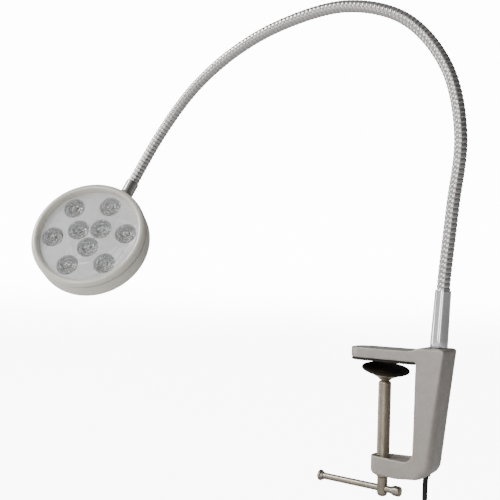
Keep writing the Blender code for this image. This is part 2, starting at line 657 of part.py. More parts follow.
def cord_tube(name, route):
    """A plain cord through a route, as a bevelled curve with filled caps."""
    fine = smooth_curve(route)
    length = float(np.linalg.norm(np.diff(fine, axis=0), axis=1).sum())
    count = int(length / (5 * CORD_RADIUS)) + 2
    points, _ = resample(fine, np.linspace(0, length, count))
    curve = bpy.data.curves.new(name, "CURVE")
    curve.dimensions = "3D"
    curve.bevel_depth = CORD_RADIUS
    curve.bevel_resolution = 2
    curve.use_fill_caps = True
    curve.materials.append(material("black_rubber"))
    spline = curve.splines.new("POLY")
    spline.points.add(len(points) - 1)
    for target, point in zip(spline.points, points):
        target.co = (*point, 1.0)
    obj = bpy.data.objects.new(name, curve)
    bpy.context.scene.collection.objects.link(obj)


def build_cord():
    coil_low = FLOOR_Z + COIL_LIFT
    coil_top = coil_low + COIL_HEIGHT
    on_top = coil_top + CORD_RADIUS + 0.5 * MM
    bend = 18 * MM
    up_bore = cable_bore_run().normalized()
    x, y = CABLE_EXIT.x, CABLE_EXIT.y
    cord_tube("cord", [
        CABLE_EXIT + 5 * MM * up_bore,
        CABLE_EXIT,
        CABLE_EXIT - 5 * MM * up_bore,
        (x - 0.6 * MM, y, -104 * MM),
        (x - 0.4 * MM, y, -120 * MM),
        (x - 0.4 * MM, y, on_top + bend + 8 * MM),
        *[(x - 0.4 * MM, y - bend + across, on_top + bend + down)
          for across, down in arc((0, 0), bend, 0, -90, 5)],
        (x - 0.8 * MM, y - bend - 6 * MM, on_top),
    ])

    half = COIL_HALF_WIDTH
    chamfer = 3 * MM
    inner, outer = COIL_RADIUS - half, COIL_RADIUS + half
    ring = turned(
        [(inner + chamfer, coil_low), (outer - chamfer, coil_low), (outer, coil_low + chamfer),
         (outer, coil_top - chamfer), (outer - chamfer, coil_top), (inner + chamfer, coil_top),
         (inner, coil_top - chamfer), (inner, coil_low + chamfer)], 32, closed=True)
    add_object("cord_coil", ring, "black_rubber", Matrix.Translation(COIL_CENTRE))

    tie_at = Matrix.Translation(COIL_CENTRE - Vector((COIL_RADIUS, 0, 0)))
    band = 0.6 * MM
    inside = (half + GAP, coil_low - GAP, coil_top + GAP)
    tie = box((-inside[0] - band, -3 * MM, inside[1] - band), (inside[0] + band, 3 * MM, inside[2] + band))
    window = box((-inside[0], -5 * MM, inside[1]), (inside[0], 5 * MM, inside[2]))
    tie_object = add_object("cord_tie", tie, "black_plastic", tie_at, smooth=False)
    modify(tie_object, add_object("tie_window", window, None, tie_at), "DIFFERENCE")

    lie = FLOOR_Z + CORD_RADIUS
    tail_y = COIL_CENTRE.y - outer + CORD_RADIUS
    plug_height = 9.5 * MM
    cord_tube("cord_tail", [
        (-8.8 * MM, tail_y, lie), (-14 * MM, tail_y, lie), (-20 * MM, tail_y, lie + 0.6 * MM),
        (-28 * MM, tail_y, lie + 0.5 * plug_height), (-36 * MM, tail_y, lie + plug_height - 0.6 * MM),
        (-42 * MM, tail_y, lie + plug_height), (-47 * MM, tail_y, lie + plug_height)])
    plug_at = Vector((-47 * MM, tail_y, lie + plug_height))
    relief = turned(
        [(2.6 * MM, GAP), (3.0 * MM, 2 * MM), (4.2 * MM, 17 * MM), (4.2 * MM, 18.5 * MM)], 16)
    add_object("plug_relief", relief, "black_rubber", aim(plug_at, (-1, 0, 0)))
    body = box((-44 * MM, -15 * MM, -11.5 * MM), (0, 15 * MM, 11.5 * MM))
    bmesh.ops.bevel(body, geom=body.edges[:], offset=2.5 * MM, segments=2, profile=0.5, affect="EDGES")
    plug_centre = plug_at - Vector((18.8 * MM, 0, 0))
    add_object("plug_body", body, "black_plastic", Matrix.Translation(plug_centre))
    for i, offset in enumerate((-9.5 * MM, 9.5 * MM)):
        pin = rod(2.0 * MM, GAP, 19 * MM, 12, chamfer=0.8 * MM)
        root = plug_centre + Vector((-44 * MM, offset, 0))
        add_object(f"plug_pin_{i + 1}", pin, "steel", aim(root, (-1, 0, 0)))


def main():
    for obj in list(bpy.data.objects):
        bpy.data.objects.remove(obj)
    build_clamp()
    build_screw()
    build_foot()
    head = add_empty("head_frame", head_matrix())
    build_head(head)
    build_neck(head_matrix())
    build_cord()
    bpy.context.view_layer.update()


main()
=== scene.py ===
import math

import bmesh
import bpy
import numpy as np
from mathutils import Matrix, Vector


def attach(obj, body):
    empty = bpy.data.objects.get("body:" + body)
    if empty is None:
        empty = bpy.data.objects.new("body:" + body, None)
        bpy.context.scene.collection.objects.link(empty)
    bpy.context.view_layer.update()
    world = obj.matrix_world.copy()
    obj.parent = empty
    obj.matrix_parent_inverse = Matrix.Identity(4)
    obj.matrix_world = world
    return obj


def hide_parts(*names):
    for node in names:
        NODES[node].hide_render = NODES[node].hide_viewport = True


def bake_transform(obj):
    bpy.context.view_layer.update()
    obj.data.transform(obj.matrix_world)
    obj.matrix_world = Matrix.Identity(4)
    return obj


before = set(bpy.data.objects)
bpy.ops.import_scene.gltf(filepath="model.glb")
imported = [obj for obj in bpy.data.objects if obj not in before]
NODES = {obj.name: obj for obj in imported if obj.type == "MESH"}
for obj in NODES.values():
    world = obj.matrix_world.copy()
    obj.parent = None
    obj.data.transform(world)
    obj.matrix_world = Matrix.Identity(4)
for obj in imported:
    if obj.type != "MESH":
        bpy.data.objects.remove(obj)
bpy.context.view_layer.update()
MM = 0.001
GAP = 0.3 * MM  # clearance between pieces that don't touch

# the part's own dimensions, which these looks are built on
BOSS_TOP = 12.6 * MM
LOWER_JAW_TOP = -72.0 * MM
SPINE_BOTTOM = -83.6 * MM
POST_X = 41.9 * MM
POST_LEAN = math.radians(3.3)
BASE_FERRULE_LENGTH = 43.5 * MM
SOCKET_DEPTH = 8.0 * MM
CABLE_EXIT = Vector((33.0 * MM, 4.2 * MM, SPINE_BOTTOM))
CABLE_BORE_TOP = 30.0 * MM
SCREW_RADIUS = 5.0 * MM
SCREW_PITCH = 1.5 * MM
SCREW_TOP = -16.0 * MM
SHANK_TOP = -88.5 * MM
SHANK_RADIUS = 4.0 * MM
SCREW_END = -103.3 * MM
BALL_Z = -12.4 * MM
BALL_RADIUS = 3.3 * MM
STUD_RADIUS = 2.0 * MM
FOOT_TILT = math.radians(10.0)
FOOT_TILT_AXIS = Vector((0.719, 0.695, 0.0))
BAR_Z = -97.3 * MM
BAR_RADIUS = 2.6 * MM
BAR_TURN = math.radians(-4.6)
BAR_LEFT = -56.0 * MM
BAR_RIGHT = 14.0 * MM
NECK_RADIUS = 5.0 * MM
NECK_PITCH = 3.72 * MM
NECK_JOINTS = 8
NECK_ROUTE = [
    (44.9, 0, 64), (50, 0, 117), (55, 0, 172), (43, 0, 225), (9.5, 0, 267), (-40, 0, 286),
    (-96, 0, 282.5), (-147, 0, 266.5), (-194, 0, 238), (-230, -3, 198),
]
HEAD_CENTRE = Vector((-262.4 * MM, -61.1 * MM, 94.4 * MM))
HEAD_AZIMUTH = math.radians(-63.9)
HEAD_ELEVATION = math.radians(24.9)
HEAD_ROLL = math.radians(-25.5)
HEAD_RADIUS = 52.5 * MM
HEAD_DEPTH = 20.5 * MM
HEAD_FERRULE_Z = -10.5 * MM
HEAD_FERRULE_SKEW = math.radians(5.6)
HEAD_FERRULE_TILT = math.radians(3.0)
HEAD_FERRULE_LENGTH = 17.0 * MM
REAR_SCREW_RADIUS = 40.0 * MM
REAR_SCREW_TURNS = (30, 150, 270)
PANEL_TOP = 0.3 * MM
PANEL_RADIUS = 46.8 * MM
PANEL_THICKNESS = 1.6 * MM
LENS_RADIUS = 9.6 * MM
LENS_RINGS = ((33.5 * MM, 0, 6), (12.0 * MM, 90, 3))  # radius, first angle in degrees, count
BOARD_TOP = -12.6 * MM
BOARD_RADIUS = 43.0 * MM
BOARD_THICKNESS = 1.6 * MM
CORD_RADIUS = 2.0 * MM
FLOOR_Z = -175.0 * MM
COIL_CENTRE = Vector((5.4 * MM, -14.0 * MM, 0.0))
COIL_RADIUS = 23.5 * MM
COIL_LIFT = 1.0 * MM
COIL_HEIGHT = 16.4 * MM
COIL_PITCH = 4.1 * MM
DROP_BEND = 18.0 * MM  # radius of the bend from the hanging cord into the coil

# detail that only these looks have
RIB_STEPS = 10
NECK_SIDES = 28
GROOVE_DEPTH = 0.9 * MM
THREAD_DEPTH = 0.16 * MM
POCKET_DEPTH = 1.6 * MM
CAST_VOXEL = 0.7 * MM
PAD_VOXEL = 0.45 * MM
CHIP_SIZE = 3.4 * MM
CHIP_HEIGHT = 0.7 * MM
SHARP_ANGLE = 40  # degrees

CAMERA_PLACE = (0.2280, -0.5478, 0.0549)
CAMERA_YAW = math.radians(33.06)
CAMERA_PITCH = math.radians(-2.66)
CAMERA_ROLL = math.radians(2.0)
STAGE_FLAT = 2.2
STAGE_SWEEP = 1.0
STAGE_HEIGHT = 5.0

# the backdrop's brightness as the camera sees it, and as it lights the object
FLOOR_SEEN = 9.0
WALL_SEEN = 14.0
GLOW_LEFT = 0.55
GLOW_RIGHT = 0.03
GLOW_SIDE = (0.838, 0.5455, 0)  # towards the dim side
WORLD_STRENGTH = 0.3
LIGHTS = [  # name, place, target, height, width, watts
    ("key", (-1.1, -0.9, 1.1), (-0.1, 0, 0.1), 0.7, 0.7, 14),
    ("side", (-1.5, -0.2, 0.1), (0.0, 0, 0.1), 1.2, 0.35, 6),
    ("front", (-0.1, -1.6, 0.5), (-0.1, 0, 0.0), 1.2, 0.25, 5),
    ("stripe", (0.45, -1.42, 0.3), (0.0, 0, 0.1), 1.3, 0.2, 3.5),
]


# ------------------------------------------------------------ frames and curves


def facing(x, y, z, origin):
    """The matrix with these axes at a place."""
    return Matrix.Translation(origin) @ Matrix((x, y, z)).transposed().to_4x4()


def aim(origin, direction, side=(0, 1, 0)):
    """A frame whose Z axis points along the direction."""
    z = Vector(direction).normalized()
    x = Vector(side).cross(z).normalized()
    return facing(x, z.cross(x), z, origin)


def post_axis():
    return aim(Vector((POST_X, 0, BOSS_TOP)), (math.sin(POST_LEAN), 0, math.cos(POST_LEAN)))



def head_matrix():
    """The head's frame: X towards the neck, Z out of the lenses."""
    azimuth, elevation = HEAD_AZIMUTH, HEAD_ELEVATION
    normal = Vector((math.cos(elevation) * math.cos(azimuth),
                     math.cos(elevation) * math.sin(azimuth),
                     math.sin(elevation)))
    upright = (Vector((0, 0, 1)) - normal.z * normal).normalized()
    to_neck = Matrix.Rotation(HEAD_ROLL, 3, normal) @ upright
    return facing(to_neck, normal.cross(to_neck), normal, HEAD_CENTRE)


def head_ferrule_axis():
    direction = Vector((1, math.tan(HEAD_FERRULE_SKEW), math.tan(HEAD_FERRULE_TILT)))
    return aim(Vector((HEAD_RADIUS, 0, HEAD_FERRULE_Z)), direction)


POST = post_axis()
HEAD = head_matrix()
HEAD_FERRULE = HEAD @ head_ferrule_axis()
BAR_FRAME = aim(Vector((0, 0, BAR_Z)), (math.cos(BAR_TURN), math.sin(BAR_TURN), 0))
FOOT = Matrix.Translation((0, 0, BALL_Z)) @ Matrix.Rotation(FOOT_TILT, 4, FOOT_TILT_AXIS)


def smooth_curve(points, per_span=12):
    """Points of a centripetal Catmull-Rom curve through the given points."""
    pts = [np.array(p, float) for p in points]
    pts = [2 * pts[0] - pts[1], *pts, 2 * pts[-1] - pts[-2]]
    out = []
    for p0, p1, p2, p3 in zip(pts, pts[1:], pts[2:], pts[3:]):
        roots = [np.linalg.norm(b - a) ** 0.5 for a, b in ((p0, p1), (p1, p2), (p2, p3))]
        t0, t1, t2, t3 = np.cumsum([0.0] + roots)
        for t in np.linspace(t1, t2, per_span, endpoint=False):
            a1 = (t1 - t) / (t1 - t0) * p0 + (t - t0) / (t1 - t0) * p1
            a2 = (t2 - t) / (t2 - t1) * p1 + (t - t1) / (t2 - t1) * p2
            a3 = (t3 - t) / (t3 - t2) * p2 + (t - t2) / (t3 - t2) * p3
            b1 = (t2 - t) / (t2 - t0) * a1 + (t - t0) / (t2 - t0) * a2
            b2 = (t3 - t) / (t3 - t1) * a2 + (t - t1) / (t3 - t1) * a3
            out.append((t2 - t) / (t2 - t1) * b1 + (t - t1) / (t2 - t1) * b2)
    out.append(pts[-2])
    return np.array(out)


def curve_length(points):
    return float(np.linalg.norm(np.diff(points, axis=0), axis=1).sum())


def resample(points, places, reach=0.5 * MM):
    """Points at the given distances along a curve, with unit tangents."""
    steps = np.linalg.norm(np.diff(points, axis=0), axis=1)
    along = np.concatenate([[0.0], np.cumsum(steps)])

    def at(distances):
        return np.column_stack([np.interp(distances, along, points[:, k]) for k in range(3)])

    tangents = at(places + reach) - at(places - reach)
    return at(places), tangents / np.linalg.norm(tangents, axis=1)[:, None]


# ------------------------------------------------------------ materials


def tone(colour, factor):
    return tuple(min(1.0, c * factor) for c in colour)


class Graph:
    """One procedural material and its nodes."""

    def __init__(self, name, colour, roughness, metallic=0.0, coat=0.0, specular=0.5):
        self.made = bpy.data.materials.new(name)
        self.made.use_nodes = True
        self.nodes = self.made.node_tree.nodes
        self.links = self.made.node_tree.links
        self.shader = self.nodes["Principled BSDF"]
        self.fix("Base Color", (*colour, 1))
        self.fix("Roughness", roughness)
        self.fix("Metallic", metallic)
        self.fix("Coat Weight", coat)
        self.fix("Coat Roughness", 0.15)
        self.fix("Specular IOR Level", specular)
        self.where = self.nodes.new("ShaderNodeTexCoord")

    def fix(self, socket, value):
        self.shader.inputs[socket].default_value = value

    def scaled(self, factors=(1, 1, 1)):
        mapping = self.nodes.new("ShaderNodeMapping")
        mapping.inputs["Scale"].default_value = factors
        self.links.new(self.where.outputs["Object"], mapping.inputs["Vector"])
        return mapping.outputs["Vector"]

    def noise(self, scale, detail=3.0, rough=0.5, stretch=(1, 1, 1)):
        node = self.nodes.new("ShaderNodeTexNoise")
        node.inputs["Scale"].default_value = scale
        node.inputs["Detail"].default_value = detail
        node.inputs["Roughness"].default_value = rough
        self.links.new(self.scaled(stretch), node.inputs["Vector"])
        return node.outputs["Fac"]

    def cells(self, scale):
        node = self.nodes.new("ShaderNodeTexVoronoi")
        node.inputs["Scale"].default_value = scale
        self.links.new(self.scaled(), node.inputs["Vector"])
        return node.outputs["Distance"]

    def spread(self, value, low, high, from_low=0.3, from_high=0.7):
        node = self.nodes.new("ShaderNodeMapRange")
        node.inputs["From Min"].default_value = from_low
        node.inputs["From Max"].default_value = from_high
        node.inputs["To Min"].default_value = low
        node.inputs["To Max"].default_value = high
        self.links.new(value, node.inputs["Value"])
        return node.outputs["Result"]

    def blend(self, factor, first, second):
        node = self.nodes.new("ShaderNodeMix")
        node.data_type = "RGBA"
        self.links.new(factor, node.inputs["Factor"])
        for socket, colour in ((node.inputs[6], first), (node.inputs[7], second)):
            if isinstance(colour, tuple):
                socket.default_value = (*colour, 1)
            else:
                self.links.new(colour, socket)
        return node.outputs[2]

    def colour(self, value):
        self.links.new(value, self.shader.inputs["Base Color"])

    def mottle(self, base, pattern, low, high):
        """The base colour, made low to high times as bright by a pattern."""
        factor = self.spread(pattern, 0, 1)
        self.colour(self.blend(factor, tone(base, low), tone(base, high)))

    def roughness(self, pattern, low, high):
        self.links.new(self.spread(pattern, low, high), self.shader.inputs["Roughness"])

    def bump(self, height, depth, strength=1.0, before=None):
        node = self.nodes.new("ShaderNodeBump")
        node.inputs["Distance"].default_value = depth
        node.inputs["Strength"].default_value = strength
        self.links.new(height, node.inputs["Height"])
        if before is not None:
            self.links.new(before, node.inputs["Normal"])
        self.links.new(node.outputs["Normal"], self.shader.inputs["Normal"])
        return node.outputs["Normal"]


def cast_paint():
    base = (0.42, 0.386, 0.352)
    graph = Graph("cast_grey_paint", base, 0.42, metallic=0.45, coat=0.12)
    graph.mottle(base, graph.noise(140, 4, 0.6), 0.93, 1.06)
    graph.roughness(graph.noise(60, 3), 0.36, 0.5)
    fine = graph.bump(graph.noise(1500, 2, 0.6), 0.04 * MM, 0.6)
    graph.bump(graph.noise(260, 3, 0.5), 0.09 * MM, 0.5, fine)
    return graph.made


def chrome(name="chrome", base=(0.80, 0.80, 0.80), low=0.07, high=0.16):
    graph = Graph(name, base, low, metallic=1.0)
    graph.roughness(graph.noise(90, 4, 0.6), low, high)
    graph.mottle(base, graph.noise(240, 3), 0.95, 1.03)
    graph.bump(graph.noise(900, 2, 0.5, (1, 1, 0.08)), 0.004 * MM, 0.5)
    return graph.made


def neck_chrome():
    base = (0.60, 0.575, 0.56)
    graph = Graph("gooseneck_chrome", base, 0.2, metallic=1.0)
    graph.mottle(base, graph.noise(400, 3), 0.9, 1.06)
    graph.roughness(graph.noise(120, 4), 0.12, 0.24)
    graph.bump(graph.noise(3000, 2), 0.006 * MM, 0.4)
    return graph.made


def nickel(name="nickel_steel", base=(0.36, 0.315, 0.245), stretch=(1, 1, 5)):
    graph = Graph(name, base, 0.3, metallic=1.0)
    graph.mottle(base, graph.noise(160, 4), 0.88, 1.08)
    graph.roughness(graph.noise(220, 4), 0.30, 0.42)
    graph.bump(graph.noise(500, 2, 0.5, stretch), 0.002 * MM, 0.3)
    return graph.made


def pearl():
    base = (0.77, 0.735, 0.645)
    graph = Graph("pearl_lacquer", base, 0.3, metallic=0.22, coat=0.35)
    flakes = graph.spread(graph.cells(2600), 0.0, 0.25, 0.1, 0.6)
    cloud = graph.spread(graph.noise(45, 3), 0, 1)
    flat = graph.blend(cloud, tone(base, 0.97), tone(base, 1.03))
    graph.colour(graph.blend(flakes, flat, tone(base, 1.25)))
    graph.roughness(graph.noise(300, 3), 0.27, 0.38)
    graph.bump(graph.noise(900, 2), 0.01 * MM, 0.35)
    return graph.made


def panel_plastic():
    base = (0.74, 0.745, 0.74)
    graph = Graph("panel_satin", base, 0.32, metallic=0.25, coat=0.3)
    graph.mottle(base, graph.noise(60, 3), 0.96, 1.05)
    graph.roughness(graph.noise(200, 3), 0.26, 0.4)
    graph.bump(graph.noise(1200, 2), 0.01 * MM, 0.3)
    return graph.made


def rubber(name, base=(0.014, 0.012, 0.011), grain=900, specular=0.2):
    graph = Graph(name, base, 0.6, specular=specular)
    graph.mottle(base, graph.noise(220, 4), 1.0, 1.9)
    graph.roughness(graph.noise(300, 3), 0.5, 0.72)
    fine = graph.bump(graph.cells(grain), 0.05 * MM, 0.4)
    graph.bump(graph.noise(500, 3), 0.04 * MM, 0.4, fine)
    return graph.made


def plastic():
    base = (0.022, 0.022, 0.024)
    graph = Graph("black_plastic", base, 0.38)
    graph.mottle(base, graph.noise(150, 3), 1.0, 1.6)
    graph.roughness(graph.noise(500, 3), 0.32, 0.5)
    graph.bump(graph.noise(2200, 2, 0.6), 0.02 * MM, 0.6)
    return graph.made


def lens_acrylic():
    graph = Graph("lens_acrylic", (0.97, 0.98, 0.98), 0.02)
    graph.fix("Transmission Weight", 0.85)
    graph.fix("IOR", 1.49)
    graph.roughness(graph.noise(200, 2), 0.03, 0.09)
    graph.bump(graph.noise(350, 1), 0.01 * MM, 0.3)
    return graph.made


def board_coating():
    base = (0.84, 0.85, 0.84)
    graph = Graph("circuit_board", base, 0.35, coat=0.3)
    graph.mottle(base, graph.noise(300, 4), 0.85, 1.05)
    graph.bump(graph.noise(900, 3), 0.01 * MM, 0.4)
    return graph.made


def phosphor():
    base = (0.85, 0.66, 0.12)
    graph = Graph("led_phosphor", base, 0.4)
    graph.mottle(base, graph.noise(1500, 3), 0.85, 1.0)
    return graph.made


def holder_plastic():
    base = (0.86, 0.87, 0.87)
    graph = Graph("holder_plastic", base, 0.4)
    graph.mottle(base, graph.noise(200, 3), 0.97, 1.0)
    graph.roughness(graph.noise(400, 3), 0.35, 0.5)
    return graph.made


# ------------------------------------------------------------ mesh builders


def polar(radius, angle, z=0.0):
    return radius * math.cos(angle), radius * math.sin(angle), z


def link(name, data):
    obj = bpy.data.objects.new(name, data)
    bpy.context.scene.collection.objects.link(obj)
    return obj


def smooth(mesh, sharp=SHARP_ANGLE):
    mesh.shade_smooth()
    if sharp:
        mesh.set_sharp_from_angle(angle=math.radians(sharp))


def finish_object(name, mesh, made, matrix=None, sharp=SHARP_ANGLE):
    """The object of a mesh, with its place in the mesh and not in the object."""
    mesh.materials.append(made)
    smooth(mesh, sharp)
    obj = link(name, mesh)
    if matrix is not None:
        mesh.transform(matrix)
    return obj


def from_bmesh(name, bm, made, matrix=None, sharp=SHARP_ANGLE):
    bmesh.ops.recalc_face_normals(bm, faces=bm.faces)
    mesh = bpy.data.meshes.new(name)
    bm.to_mesh(mesh)
    bm.free()
    return finish_object(name, mesh, made, matrix, sharp)


def soften(profile, radius, closed=False, steps=4):
    """Rounds the corners of an (r, z) outline. Corners on the axis stay."""
    out = []
    count = len(profile)
    for i, point in enumerate(profile):
        corner = np.array(point, float)
        if corner[0] < 1e-7 or (not closed and i in (0, count - 1)):
            out.append(tuple(corner))
            continue
        before = np.array(profile[i - 1], float) - corner
        after = np.array(profile[(i + 1) % count], float) - corner
        reach_before, reach_after = np.linalg.norm(before), np.linalg.norm(after)
        cut = min(radius, 0.45 * reach_before, 0.45 * reach_after)
        start = corner + before / reach_before * cut
        end = corner + after / reach_after * cut
        for t in np.linspace(0, 1, steps):
            out.append(tuple((1 - t) ** 2 * start + 2 * t * (1 - t) * corner + t * t * end))
    return out


def turned(profile, sides=96, closed=False, capped=True):
    """An (r, z) outline turned about Z. A closed outline makes a ring."""
    bm = bmesh.new()
    rings = []
    for radius, z in profile:
        if radius < 1e-7:
            rings.append([bm.verts.new((0, 0, z))])
            continue
        turns = [2 * math.pi * i / sides for i in range(sides)]
        rings.append([bm.verts.new(polar(radius, t, z)) for t in turns])
    pairs = list(zip(rings, rings[1:]))
    if closed:
        pairs.append((rings[-1], rings[0]))
    for a, b in pairs:
        for i in range(sides):
            j = (i + 1) % sides
            corners = [a[i % len(a)], a[j % len(a)], b[j % len(b)], b[i % len(b)]]
            distinct = list(dict.fromkeys(corners))
            if len(distinct) > 2:
                bm.faces.new(distinct)
    if capped and not closed:
        for ring in (rings[0], rings[-1]):
            if len(ring) > 1:
                bm.faces.new(ring)
    return bm


def settle(obj, body, nodes=()):
    """Makes a piece ride on a body and stand for its CAD nodes."""
    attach(obj, body)
    if nodes:
        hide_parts(*nodes)
    return obj


def lathe(name, profile, made, matrix, body, nodes=(), sides=96, closed=False,
          corner=0.0):
    """A turned piece that rides on a body and stands for its CAD node."""
    outline = soften(profile, corner, closed) if corner else profile
    obj = from_bmesh(name, turned(outline, sides, closed), made, matrix)
    return settle(obj, body, nodes)


def boolean(obj, other, operation="DIFFERENCE"):
    step = obj.modifiers.new("cut", "BOOLEAN")
    step.operation = operation
    step.solver = "EXACT"
    step.object = other


def apply_all(obj, *helpers):
    """Applies obj's modifiers and removes its helper objects."""
    bpy.context.view_layer.update()
    graph = bpy.context.evaluated_depsgraph_get()
    mesh = bpy.data.meshes.new_from_object(obj.evaluated_get(graph))
    obj.modifiers.clear()
    obj.data = mesh
    for helper in helpers:
        bpy.data.objects.remove(helper)


def scratch(bm, matrix=None):
    """A helper object, for a boolean."""
    bmesh.ops.recalc_face_normals(bm, faces=bm.faces)
    mesh = bpy.data.meshes.new("helper")
    bm.to_mesh(mesh)
    bm.free()
    obj = link("helper", mesh)
    if matrix is not None:
        obj.matrix_world = matrix
    return obj


def rod(radius, low, high, sides=48):
    return turned([(radius, low), (radius, high)], sides)


# ------------------------------------------------------------ camera, floor and light


def camera():
    forward = Vector((-math.sin(CAMERA_YAW) * math.cos(CAMERA_PITCH),
                      math.cos(CAMERA_YAW) * math.cos(CAMERA_PITCH),
                      -math.sin(CAMERA_PITCH)))
    level = Vector((math.cos(CAMERA_YAW), math.sin(CAMERA_YAW), 0))
    above = level.cross(forward)
    right = level * math.cos(CAMERA_ROLL) + above * math.sin(CAMERA_ROLL)
    up = above * math.cos(CAMERA_ROLL) - level * math.sin(CAMERA_ROLL)
    data = bpy.data.cameras.new("camera")
    data.lens = 54
    data.sensor_width = 36
    data.clip_start = 0.02
    data.clip_end = 50
    obj = link("camera", data)
    obj.matrix_world = facing(right, up, -forward, CAMERA_PLACE)
    bpy.context.scene.camera = obj


def backdrop_paint():
    """Bright where the camera sees it, so that the ground is white, but dim as a light."""
    made = bpy.data.materials.new("studio_floor")
    made.use_nodes = True
    nodes, links = made.node_tree.nodes, made.node_tree.links
    shader = nodes["Principled BSDF"]
    shader.inputs["Roughness"].default_value = 0.9
    shader.inputs["Specular IOR Level"].default_value = 0.0
    shader.inputs["Emission Color"].default_value = (1, 1, 1, 1)
    where = nodes.new("ShaderNodeTexCoord").outputs["Object"]

    def ramp(direction, start, end, low, high):
        """From low to high along a direction, in the stage's own coordinates."""
        along = nodes.new("ShaderNodeVectorMath")
        along.operation = "DOT_PRODUCT"
        along.inputs[1].default_value = direction
        links.new(where, along.inputs[0])
        node = nodes.new("ShaderNodeMapRange")
        node.interpolation_type = "SMOOTHSTEP"
        numbers = {"From Min": start, "From Max": end, "To Min": low, "To Max": high}
        for name, number in numbers.items():
            node.inputs[name].default_value = number
        links.new(along.outputs["Value"], node.inputs["Value"])
        return node.outputs["Result"]

    up = (0, 0, 1)
    strength = nodes.new("ShaderNodeMix")
    links.new(nodes.new("ShaderNodeLightPath").outputs["Is Camera Ray"], strength.inputs["Factor"])
    links.new(ramp(GLOW_SIDE, -2.4, 0.9, GLOW_LEFT, GLOW_RIGHT), strength.inputs["A"])
    links.new(ramp(up, FLOOR_Z, FLOOR_Z + 0.25, FLOOR_SEEN, WALL_SEEN), strength.inputs["B"])
    links.new(strength.outputs["Result"], shader.inputs["Emission Strength"])
    grey = nodes.new("ShaderNodeCombineColor")
    shade = ramp(up, FLOOR_Z + 0.1, FLOOR_Z + 1.2, 0.7, 0.2)
    for socket in grey.inputs[:3]:
        links.new(shade, socket)
    links.new(grey.outputs["Color"], shader.inputs["Base Color"])
    return made


def stage():
    """A pale floor that sweeps up into a backdrop all round."""
    flat, sweep = STAGE_FLAT, STAGE_SWEEP
    bend = [(flat + sweep * math.sin(a), sweep - sweep * math.cos(a))
            for a in np.linspace(0.15, math.pi / 2, 9)]
    profile = [(0.0, 0.0), (flat, 0.0), *bend, (flat + sweep, STAGE_HEIGHT)]
    raised = [(radius, FLOOR_Z + z) for radius, z in profile]
    floor = from_bmesh("studio_floor", turned(raised, capped=False), backdrop_paint(), sharp=None)


def lights():
    world = bpy.data.worlds.new("studio")
    bpy.context.scene.world = world
    world.use_nodes = True
    back = world.node_tree.nodes["Background"]
    back.inputs["Color"].default_value = (1, 1, 1, 1)
    back.inputs["Strength"].default_value = WORLD_STRENGTH
    for name, place, target, height, width, watts in LIGHTS:
        data = bpy.data.lights.new(name, "AREA")
        data.shape = "RECTANGLE"
        data.size = width
        data.size_y = height
        data.energy = watts
        obj = link(name, data)
        obj.matrix_world = aim(Vector(place), Vector(place) - Vector(target), side=(0, 0, 1))


# ------------------------------------------------------------ cord


def cord_drop(top):
    """Out of the clamp, straight down, and round into the coil's first turn."""
    run = (POST @ Vector((0, 0, -CABLE_BORE_TOP)) - CABLE_EXIT).normalized()
    x, y = CABLE_EXIT.x, CABLE_EXIT.y
    bend = DROP_BEND
    landing = [(x, y - bend + bend * math.cos(t), top + bend - bend * math.sin(t))
               for t in np.linspace(0, math.pi / 2, 6)]
    return smooth_curve([
        CABLE_EXIT + 5 * MM * run, CABLE_EXIT, CABLE_EXIT - 5 * MM * run,
        (x - 0.6 * MM, y, -104 * MM), (x - 0.4 * MM, y, -120 * MM),
        (x - 0.2 * MM, y, top + bend + 8 * MM), *landing], 6)


def cord_coil(layers, columns):
    """The turns of the coil. Each shifts to the next one's place in its last fifth."""
    per_turn, shift, last_part = 30, 0.2, 0.26
    sweeps = ((0, 1, 2), (2, 1, 0), (0, 1, 2), (2, 1, 0))
    order = [(layer, column) for layer, sweep in enumerate(sweeps) for column in sweep]
    points = []
    for turn, (layer, column) in enumerate(order):
        last = turn == len(order) - 1
        next_layer, next_column = (layer, column) if last else order[turn + 1]
        for i in range(per_turn):
            part = i / per_turn
            if last and part > last_part:
                break
            step = max(0.0, (part - 1 + shift) / shift)
            ease = step * step * (3 - 2 * step)
            radius = columns[column] + (columns[next_column] - columns[column]) * ease
            z = layers[layer] + (layers[next_layer] - layers[layer]) * ease
            x, y, z = polar(radius, -2 * math.pi * part, z)
            points.append((COIL_CENTRE.x + x, COIL_CENTRE.y + y, z))
    return np.array(points)


def cord_tail():
    """Along the floor from the coil, and up to the plug's strain relief."""
    y = COIL_CENTRE.y - COIL_RADIUS - 6.3 * MM + CORD_RADIUS
    lie = FLOOR_Z + CORD_RADIUS
    rise = 9.5 * MM
    return smooth_curve([
        (2 * MM, y - 0.1 * MM, lie + 0.9 * MM), (-8.8 * MM, y, lie + 0.2 * MM),
        (-14 * MM, y, lie), (-20 * MM, y, lie + 0.6 * MM),
        (-28 * MM, y, lie + 0.5 * rise), (-36 * MM, y, lie + rise - 0.6 * MM),
        (-42 * MM, y, lie + rise), (-46.7 * MM, y, lie + rise)], 4)


def cord_route():
    """The whole cord: out of the clamp, down to the coil, round it and on to its plug."""
    coil_top = FLOOR_Z + COIL_LIFT + COIL_HEIGHT
    layers = [coil_top - COIL_PITCH * (k + 0.5) for k in range(4)]
    columns = [COIL_RADIUS + COIL_PITCH, COIL_RADIUS, COIL_RADIUS - COIL_PITCH]
    return np.vstack([cord_drop(layers[0]), cord_coil(layers, columns)[1:], cord_tail()])


